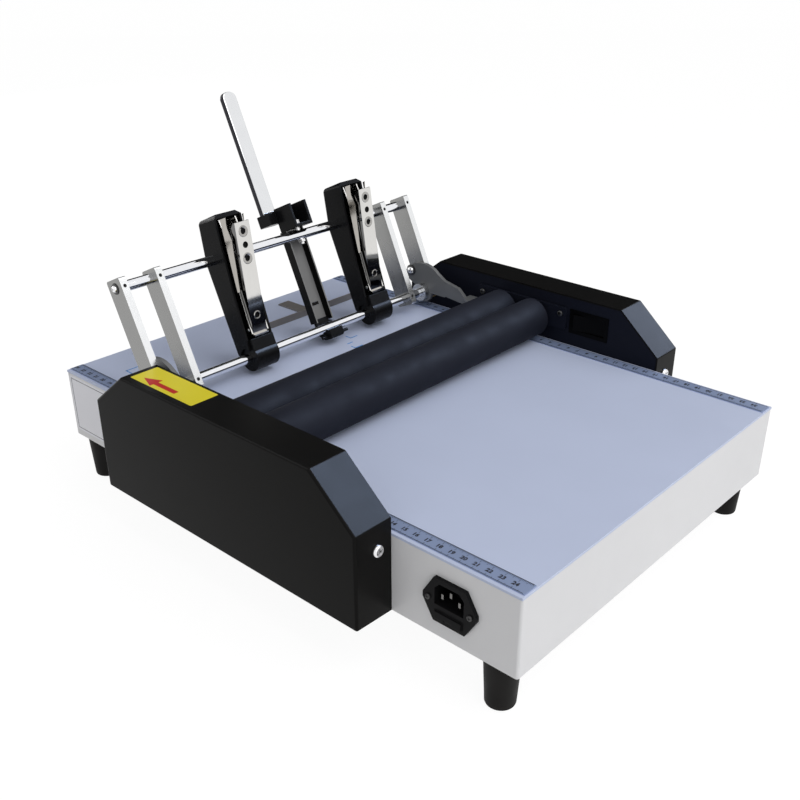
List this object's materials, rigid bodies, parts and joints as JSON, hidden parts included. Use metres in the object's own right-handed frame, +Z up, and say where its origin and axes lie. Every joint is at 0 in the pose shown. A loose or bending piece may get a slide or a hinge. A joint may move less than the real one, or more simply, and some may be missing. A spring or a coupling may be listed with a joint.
{
  "type": "booklet stapler",
  "caption": "Powered tabletop booklet maker with fold rollers between two feed tables, sloped side covers and a swinging frame of staplers with a pull handle.",
  "frame": {"origin": "on the floor, under the middle of the base", "axes": "+X along the rollers to the switch side, +Y to the infeed side with the stapling frame, +Z up"},
  "size_m": [0.412, 0.495, 0.3162],
  "materials": {
    "white_paint": "satin white powder coat on folded sheet",
    "table_sheet": "pale lilac-grey coated sheet with a soft sheen",
    "foot_rubber": "matt black rubber",
    "black_paint": "satin black powder coat with a fine texture",
    "ruler_steel": "slate blue printed strip, matt",
    "roller_rubber": "ground matt black rubber",
    "shaft_steel": "turned and ground steel",
    "motor_steel": "zinc plated steel",
    "idler_plastic": "natural acetal",
    "black_plastic": "moulded black plastic",
    "board": "green circuit board",
    "bush_brass": "sintered bronze",
    "rod_chrome": "bright chrome plate",
    "bar_aluminium": "drawn aluminium flat, satin",
    "lever_grey": "grey enamel on pressed steel",
    "shell_plastic": "glossy black moulding"
  },
  "bodies": {
    "base": {"base_shell": "white_paint", "bottom_plate": "white_paint", "rear_table": "table_sheet", "front_table": "table_sheet", "feet": "foot_rubber", "left_side_frame": "black_paint", "right_side_frame": "black_paint", "left_cover": "black_paint", "right_cover": "black_paint", "left_bearing_plate": "black_paint", "right_bearing_plate": "black_paint", "left_ruler": "ruler_steel", "right_ruler": "ruler_steel", "idler_stud": "shaft_steel", "drive_motor": "motor_steel", "knife_guides": "shaft_steel", "knife_solenoid": "motor_steel", "power_inlet": "black_plastic", "inlet_pins": "shaft_steel", "power_switch": "black_plastic", "control_board": "board", "shaft_bushes": "bush_brass"},
    "front_roller": {"front_roller_shaft": "shaft_steel", "front_roller_sleeve": "roller_rubber", "front_roller_gear": "shaft_steel"},
    "rear_roller": {"rear_roller_shaft": "shaft_steel", "rear_roller_sleeve": "roller_rubber", "rear_roller_gear": "shaft_steel"},
    "idler": {"idler_gear": "idler_plastic"},
    "pinion": {"drive_pinion": "shaft_steel"},
    "knife": {"folding_knife": "shaft_steel", "knife_carrier": "motor_steel", "knife_plunger": "shaft_steel"},
    "drawer": {"fuse_drawer": "black_plastic", "fuse": "shaft_steel"},
    "rocker": {"switch_rocker": "black_plastic"},
    "stop": {"rear_stop": "lever_grey"},
    "stapling_frame": {"lower_shaft": "rod_chrome", "upper_rod": "rod_chrome", "left_outer_bar": "bar_aluminium", "right_outer_bar": "bar_aluminium", "left_inner_bar": "bar_aluminium", "right_inner_bar": "bar_aluminium", "left_shaft_lever": "lever_grey", "right_shaft_lever": "lever_grey", "shaft_collars": "shaft_steel", "left_stapler_nose": "shell_plastic", "right_stapler_nose": "shell_plastic", "left_stapler_shell": "shell_plastic", "right_stapler_shell": "shell_plastic", "left_magazine": "rod_chrome", "right_magazine": "rod_chrome", "hinge_pins": "shaft_steel", "handle_channel": "lever_grey", "handle_saddle": "black_plastic", "handle_bracket": "shell_plastic", "bracket_bolt": "shaft_steel", "handle_bar": "rod_chrome"},
    "left_lever": {"left_staple_lever": "rod_chrome"},
    "right_lever": {"right_staple_lever": "rod_chrome"}
  },
  "joints": [
    {"name": "rear_roller_turn", "type": "hinge", "parent": "base", "child": "rear_roller", "pos_m": [0, 0.022, 0.12175], "axis": [1, 0, 0], "continuous": true},
    {"name": "front_roller_turn", "type": "hinge", "parent": "base", "child": "front_roller", "pos_m": [0, -0.014, 0.12175], "axis": [1, 0, 0], "continuous": true},
    {"name": "idler_turn", "type": "hinge", "parent": "base", "child": "idler", "pos_m": [-0.183, 0.04201, 0.08144], "axis": [1, 0, 0], "continuous": true},
    {"name": "pinion_turn", "type": "hinge", "parent": "base", "child": "pinion", "pos_m": [-0.183, 0.0793, 0.07004], "axis": [1, 0, 0], "continuous": true},
    {"name": "knife_lift", "type": "slide", "parent": "base", "child": "knife", "axis": [0, 0, 1], "range_m": [0, 0.018]},
    {"name": "fuse_drawer_pull", "type": "slide", "parent": "base", "child": "drawer", "axis": [-1, 0, 0], "range_m": [0, 0.015]},
    {"name": "switch_press", "type": "hinge", "parent": "base", "child": "rocker", "pos_m": [0.176, -0.0703, 0.1249], "axis": [0, 0, -1], "range_deg": [0, 16]},
    {"name": "rear_stop_slide", "type": "slide", "parent": "base", "child": "stop", "axis": [0, 1, 0], "range_m": [-0.026, 0.012]},
    {"name": "frame_swing", "type": "hinge", "parent": "base", "child": "stapling_frame", "pos_m": [0, 0.1176, 0.117], "axis": [1, 0, 0], "range_deg": [-50, 11]},
    {"name": "left_lever_press", "type": "hinge", "parent": "stapling_frame", "child": "left_lever", "pos_m": [-0.05825, 0.12031, 0.14104], "axis": [-1, 0, 0], "range_deg": [0, 8], "stiffness_Nm_per_rad": 0.15, "springref_deg": -14.32},
    {"name": "right_lever_press", "type": "hinge", "parent": "stapling_frame", "child": "right_lever", "pos_m": [0.08825, 0.12031, 0.14104], "axis": [-1, 0, 0], "range_deg": [0, 8], "stiffness_Nm_per_rad": 0.15, "springref_deg": -14.32}
  ],
  "couplings": [
    {"joint": "front_roller_turn", "follows": "rear_roller_turn", "ratio": -1},
    {"joint": "idler_turn", "follows": "rear_roller_turn", "ratio": -0.66667},
    {"joint": "pinion_turn", "follows": "rear_roller_turn", "ratio": 1.5}
  ]
}
